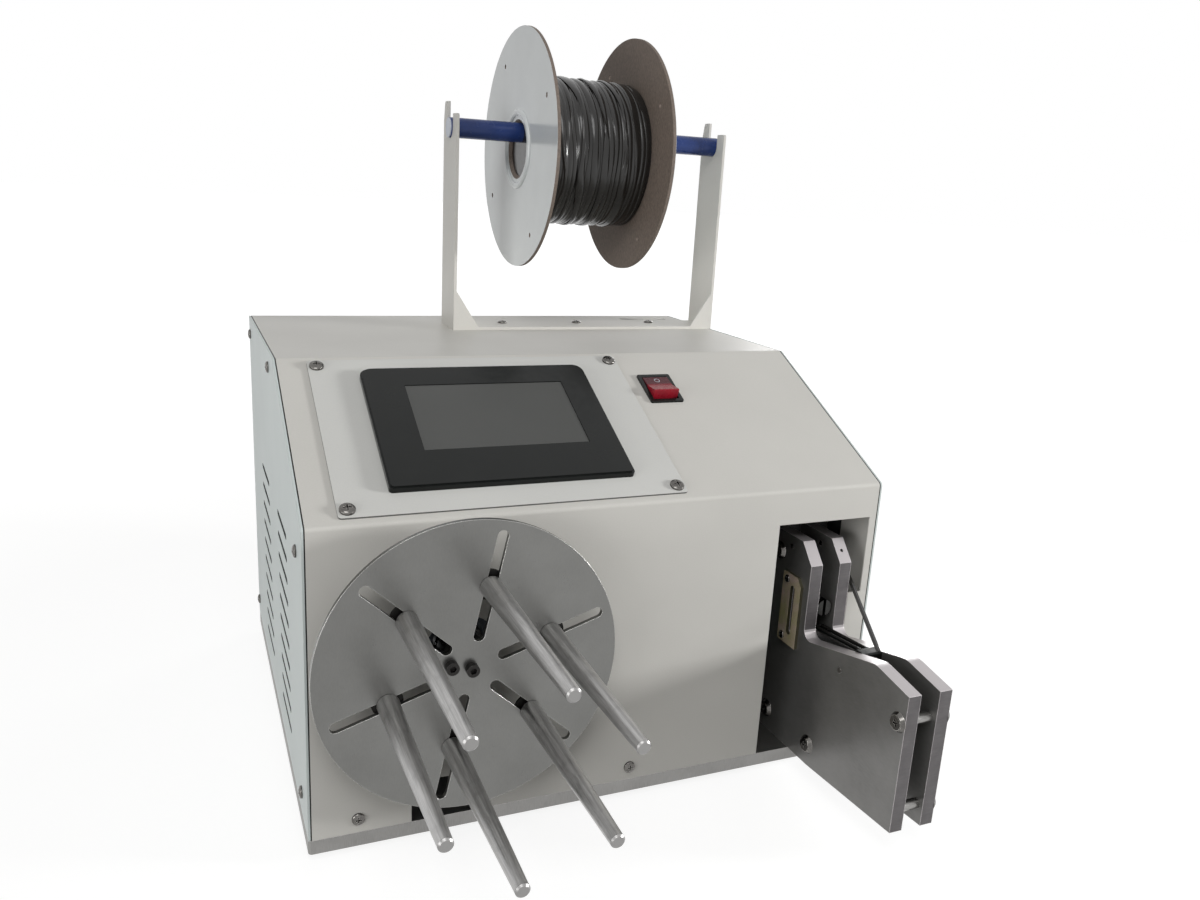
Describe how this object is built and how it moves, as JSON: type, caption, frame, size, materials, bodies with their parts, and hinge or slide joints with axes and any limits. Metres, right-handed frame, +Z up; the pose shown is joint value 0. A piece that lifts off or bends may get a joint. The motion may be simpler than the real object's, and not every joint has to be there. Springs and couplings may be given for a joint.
{
  "type": "cable coiling machine",
  "caption": "Bench machine that winds cable round tapered fingers on a slotted disc and twists a tie, fed from the spool on top, round the coil.",
  "frame": {"origin": "middle of the part's box at the level that its feet stand on", "axes": "+Z up, +Y from the front with the winding disc to the back, +X to the right as seen from the front"},
  "size_m": [0.5054, 0.672, 0.6658],
  "materials": {
    "base_steel": "satin",
    "black_rubber": "matte",
    "grey_paint": "satin powder coat",
    "white_paint": "satin powder coat",
    "zinc_steel": "zinc plated",
    "plate_paint": "satin",
    "black_moulding": "fine texture",
    "screen_glass": "gloss",
    "red_moulding": "satin",
    "blue_sleeve": "gloss",
    "white_moulding": "satin",
    "spool_board": "satin",
    "black_tie": "gloss",
    "disc_steel": "sanded",
    "black_steel": "black oxide",
    "turned_steel": "turned",
    "cast_housing": "satin",
    "bearing_steel": "polished",
    "milled_aluminium": "milled",
    "motor_paint": "satin",
    "tie_steel": "ground",
    "yellow_zinc": "yellow zinc",
    "finger_steel": "turned",
    "zinc_sheet": "galvanised",
    "board_green": "solder mask"
  },
  "bodies": {
    "root": {"base_plate": "base_steel", "rubber_feet": "black_rubber", "front_cover": "grey_paint", "left_side_panel": "white_paint", "right_side_panel": "white_paint", "rear_panel": "grey_paint", "cover_screws": "zinc_steel", "side_panel_screws": "zinc_steel", "hmi_plate": "plate_paint", "hmi_plate_screws": "zinc_steel", "hmi_bezel": "black_moulding", "hmi_screen": "screen_glass", "hmi_case": "black_moulding", "rocker_frame": "black_moulding", "spool_bracket": "grey_paint", "bracket_screws": "zinc_steel", "spindle_housing": "cast_housing", "spindle_bearings": "bearing_steel", "spindle_stand": "milled_aluminium", "drive_belt": "black_rubber", "winding_motor": "motor_paint", "motor_stand": "milled_aluminium", "tie_plate_left": "tie_steel", "tie_plate_right": "tie_steel", "tie_spacers": "turned_steel", "tie_unit_screws": "zinc_steel", "slotted_plate": "yellow_zinc", "tie_guide": "black_moulding", "tie_band": "black_tie", "tie_back_plate": "tie_steel", "twist_motor": "motor_paint", "feed_frame": "milled_aluminium", "feed_motor": "motor_paint", "power_supply": "zinc_sheet", "control_board": "board_green", "power_inlet": "black_moulding", "pedal_socket": "zinc_steel"},
    "winder": {"winding_disc": "disc_steel", "disc_screws": "black_steel", "disc_hub": "turned_steel", "spindle": "turned_steel", "bearing_inner_rings": "bearing_steel", "driven_pulley": "milled_aluminium"},
    "motor_pulley": {"drive_pulley": "milled_aluminium"},
    "shaft": {"spool_shaft": "blue_sleeve", "shaft_end_caps": "white_moulding"},
    "spool": {"spool_flange_left": "spool_board", "spool_flange_right": "spool_board", "spool_hub": "spool_board", "tie_winding": "black_tie"},
    "rocker": {"rocker_button": "red_moulding"},
    "twister": {"twist_rotor": "turned_steel"},
    "feeder": {"feed_roller": "turned_steel"},
    "pincher": {"pinch_roller": "turned_steel"},
    "finger_1": {"finger_1": "finger_steel"},
    "finger_2": {"finger_2": "finger_steel"},
    "finger_3": {"finger_3": "finger_steel"},
    "finger_4": {"finger_4": "finger_steel"},
    "finger_5": {"finger_5": "finger_steel"},
    "finger_6": {"finger_6": "finger_steel"}
  },
  "joints": [
    {"name": "winder_spin", "type": "hinge", "parent": "root", "child": "winder", "pos_m": [-0.133, -0.14, 0.162], "axis": [0, -1, 0], "continuous": true},
    {"name": "motor_spin", "type": "hinge", "parent": "root", "child": "motor_pulley", "pos_m": [-0.018, -0.042, 0.162], "axis": [0, -1, 0], "continuous": true},
    {"name": "shaft_lift", "type": "slide", "parent": "root", "child": "shaft", "axis": [0, 0, 1], "range_m": [0, 0.03]},
    {"name": "spool_spin", "type": "hinge", "parent": "shaft", "child": "spool", "pos_m": [0.0785, 0.216, 0.5458], "axis": [1, 0, 0], "continuous": true},
    {"name": "rocker_tilt", "type": "hinge", "parent": "root", "child": "rocker", "pos_m": [0.087, -0.01025, 0.33348], "axis": [1, 0, 0], "range_deg": [0, 28]},
    {"name": "twister_spin", "type": "hinge", "parent": "root", "child": "twister", "pos_m": [0.20125, -0.136, 0.1581], "axis": [0, -1, 0], "continuous": true},
    {"name": "feeder_spin", "type": "hinge", "parent": "root", "child": "feeder", "pos_m": [0.2292, -0.048, 0.195], "axis": [1, 0, 0], "continuous": true},
    {"name": "pincher_spin", "type": "hinge", "parent": "root", "child": "pincher", "pos_m": [0.2292, -0.048, 0.2198], "axis": [1, 0, 0], "continuous": true},
    {"name": "finger_1_slide", "type": "slide", "parent": "winder", "child": "finger_1", "axis": [0.9511, 0, 0.309], "range_m": [-0.031, 0.039]},
    {"name": "finger_2_slide", "type": "slide", "parent": "winder", "child": "finger_2", "axis": [0.2079, 0, 0.9781], "range_m": [-0.031, 0.039]},
    {"name": "finger_3_slide", "type": "slide", "parent": "winder", "child": "finger_3", "axis": [-0.7431, 0, 0.6691], "range_m": [-0.031, 0.039]},
    {"name": "finger_4_slide", "type": "slide", "parent": "winder", "child": "finger_4", "axis": [-0.9511, 0, -0.309], "range_m": [-0.031, 0.039]},
    {"name": "finger_5_slide", "type": "slide", "parent": "winder", "child": "finger_5", "axis": [-0.2079, 0, -0.9781], "range_m": [-0.031, 0.039]},
    {"name": "finger_6_slide", "type": "slide", "parent": "winder", "child": "finger_6", "axis": [0.7431, 0, -0.6691], "range_m": [-0.031, 0.039]}
  ],
  "couplings": [
    {"joint": "motor_spin", "follows": "winder_spin", "ratio": 2},
    {"joint": "pincher_spin", "follows": "feeder_spin", "ratio": -1.3}
  ]
}
